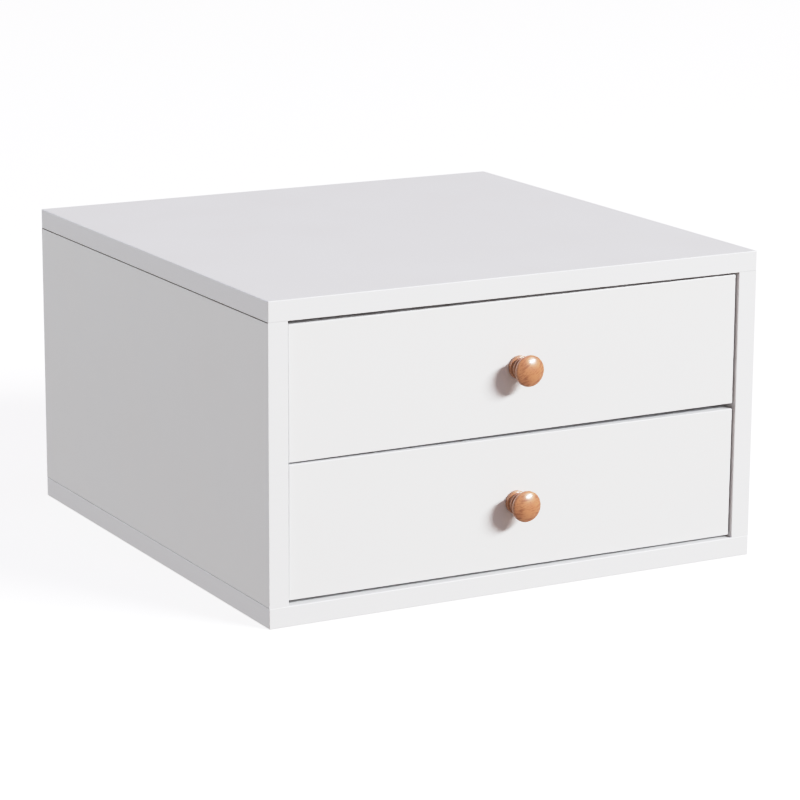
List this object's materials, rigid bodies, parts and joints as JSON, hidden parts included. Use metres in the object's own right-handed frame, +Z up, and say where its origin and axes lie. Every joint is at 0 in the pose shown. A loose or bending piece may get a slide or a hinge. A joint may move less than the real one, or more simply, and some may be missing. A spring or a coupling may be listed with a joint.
{
  "type": "desk organizer",
  "caption": "Low white desktop drawer cabinet with inset fronts that slide out on roller runners, each with a turned wooden mushroom knob.",
  "frame": {"origin": "centre of the cabinet's underside, on the surface it stands on", "axes": "+X right seen from the front, +Y towards the back (the fronts face -Y), +Z up"},
  "size_m": [0.4, 0.4179, 0.232],
  "materials": {
    "white_board": "satin white melamine on particle board",
    "white_edging": "satin white plastic edge band",
    "white_hardboard": "white-faced hardboard",
    "beech_knob": "lacquered turned beech",
    "beech_dowel": "raw beech",
    "zinc_alloy": "die-cast zinc alloy",
    "zinc_steel": "zinc-plated steel",
    "white_runner_steel": "white powder-coated steel",
    "white_nylon": "nylon",
    "brass": "turned brass"
  },
  "bodies": {
    "cabinet": {"top_panel": "white_board", "top_panel_edging": "white_edging", "bottom_panel": "white_board", "bottom_panel_edging": "white_edging", "left_side_panel": "white_board", "left_side_edging": "white_edging", "right_side_panel": "white_board", "right_side_edging": "white_edging", "back_panel": "white_hardboard", "carcass_cam_locks": "zinc_alloy", "carcass_cam_bolts": "zinc_steel", "carcass_dowels": "beech_dowel", "cabinet_runner_screws": "zinc_steel", "front_roller_axles": "zinc_steel", "upper_left_cabinet_runner": "white_runner_steel", "upper_right_cabinet_runner": "white_runner_steel", "lower_left_cabinet_runner": "white_runner_steel", "lower_right_cabinet_runner": "white_runner_steel"},
    "upper_drawer": {"upper_drawer_front": "white_board", "upper_drawer_left_side": "white_board", "upper_drawer_right_side": "white_board", "upper_drawer_back": "white_board", "upper_front_edging": "white_edging", "upper_drawer_bottom": "white_hardboard", "upper_knob": "beech_knob", "upper_knob_insert": "brass", "upper_front_cam_locks": "zinc_alloy", "upper_knob_screw": "zinc_steel", "upper_front_cam_bolts": "zinc_steel", "upper_back_screws": "zinc_steel", "upper_drawer_runner_screws": "zinc_steel", "upper_rear_roller_axles": "zinc_steel", "upper_front_dowels": "beech_dowel", "upper_left_drawer_runner": "white_runner_steel", "upper_right_drawer_runner": "white_runner_steel"},
    "upper_left_front_roller": {"upper_left_front_roller": "white_nylon"},
    "upper_left_rear_roller": {"upper_left_rear_roller": "white_nylon"},
    "upper_right_front_roller": {"upper_right_front_roller": "white_nylon"},
    "upper_right_rear_roller": {"upper_right_rear_roller": "white_nylon"},
    "lower_drawer": {"lower_drawer_front": "white_board", "lower_drawer_left_side": "white_board", "lower_drawer_right_side": "white_board", "lower_drawer_back": "white_board", "lower_front_edging": "white_edging", "lower_drawer_bottom": "white_hardboard", "lower_knob": "beech_knob", "lower_knob_insert": "brass", "lower_front_cam_locks": "zinc_alloy", "lower_knob_screw": "zinc_steel", "lower_front_cam_bolts": "zinc_steel", "lower_back_screws": "zinc_steel", "lower_drawer_runner_screws": "zinc_steel", "lower_rear_roller_axles": "zinc_steel", "lower_front_dowels": "beech_dowel", "lower_left_drawer_runner": "white_runner_steel", "lower_right_drawer_runner": "white_runner_steel"},
    "lower_left_front_roller": {"lower_left_front_roller": "white_nylon"},
    "lower_left_rear_roller": {"lower_left_rear_roller": "white_nylon"},
    "lower_right_front_roller": {"lower_right_front_roller": "white_nylon"},
    "lower_right_rear_roller": {"lower_right_rear_roller": "white_nylon"}
  },
  "joints": [
    {"name": "upper_drawer_slide", "type": "slide", "parent": "cabinet", "child": "upper_drawer", "axis": [0, -1, 0], "range_m": [0, 0.26]},
    {"name": "upper_left_front_roller_spin", "type": "hinge", "parent": "cabinet", "child": "upper_left_front_roller", "pos_m": [-0.18, -0.1697, 0.1293], "axis": [1, 0, 0], "range_deg": [-1, 1754.6]},
    {"name": "upper_left_rear_roller_spin", "type": "hinge", "parent": "upper_drawer", "child": "upper_left_rear_roller", "pos_m": [-0.1795, 0.1553, 0.1305], "axis": [1, 0, 0], "range_deg": [-1, 1586.8]},
    {"name": "upper_right_front_roller_spin", "type": "hinge", "parent": "cabinet", "child": "upper_right_front_roller", "pos_m": [0.18, -0.1697, 0.1293], "axis": [1, 0, 0], "range_deg": [-1, 1754.6]},
    {"name": "upper_right_rear_roller_spin", "type": "hinge", "parent": "upper_drawer", "child": "upper_right_rear_roller", "pos_m": [0.1795, 0.1553, 0.1305], "axis": [1, 0, 0], "range_deg": [-1, 1586.8]},
    {"name": "lower_drawer_slide", "type": "slide", "parent": "cabinet", "child": "lower_drawer", "axis": [0, -1, 0], "range_m": [0, 0.26]},
    {"name": "lower_left_front_roller_spin", "type": "hinge", "parent": "cabinet", "child": "lower_left_front_roller", "pos_m": [-0.18, -0.1697, 0.0295], "axis": [1, 0, 0], "range_deg": [-1, 1754.6]},
    {"name": "lower_left_rear_roller_spin", "type": "hinge", "parent": "lower_drawer", "child": "lower_left_rear_roller", "pos_m": [-0.1795, 0.1553, 0.0307], "axis": [1, 0, 0], "range_deg": [-1, 1586.8]},
    {"name": "lower_right_front_roller_spin", "type": "hinge", "parent": "cabinet", "child": "lower_right_front_roller", "pos_m": [0.18, -0.1697, 0.0295], "axis": [1, 0, 0], "range_deg": [-1, 1754.6]},
    {"name": "lower_right_rear_roller_spin", "type": "hinge", "parent": "lower_drawer", "child": "lower_right_rear_roller", "pos_m": [0.1795, 0.1553, 0.0307], "axis": [1, 0, 0], "range_deg": [-1, 1586.8]}
  ],
  "couplings": [
    {"joint": "upper_left_front_roller_spin", "follows": "upper_drawer_slide", "rad_per_m": 117.65},
    {"joint": "upper_left_rear_roller_spin", "follows": "upper_drawer_slide", "rad_per_m": 106.38},
    {"joint": "upper_right_front_roller_spin", "follows": "upper_drawer_slide", "rad_per_m": 117.65},
    {"joint": "upper_right_rear_roller_spin", "follows": "upper_drawer_slide", "rad_per_m": 106.38},
    {"joint": "lower_left_front_roller_spin", "follows": "lower_drawer_slide", "rad_per_m": 117.65},
    {"joint": "lower_left_rear_roller_spin", "follows": "lower_drawer_slide", "rad_per_m": 106.38},
    {"joint": "lower_right_front_roller_spin", "follows": "lower_drawer_slide", "rad_per_m": 117.65},
    {"joint": "lower_right_rear_roller_spin", "follows": "lower_drawer_slide", "rad_per_m": 106.38}
  ]
}
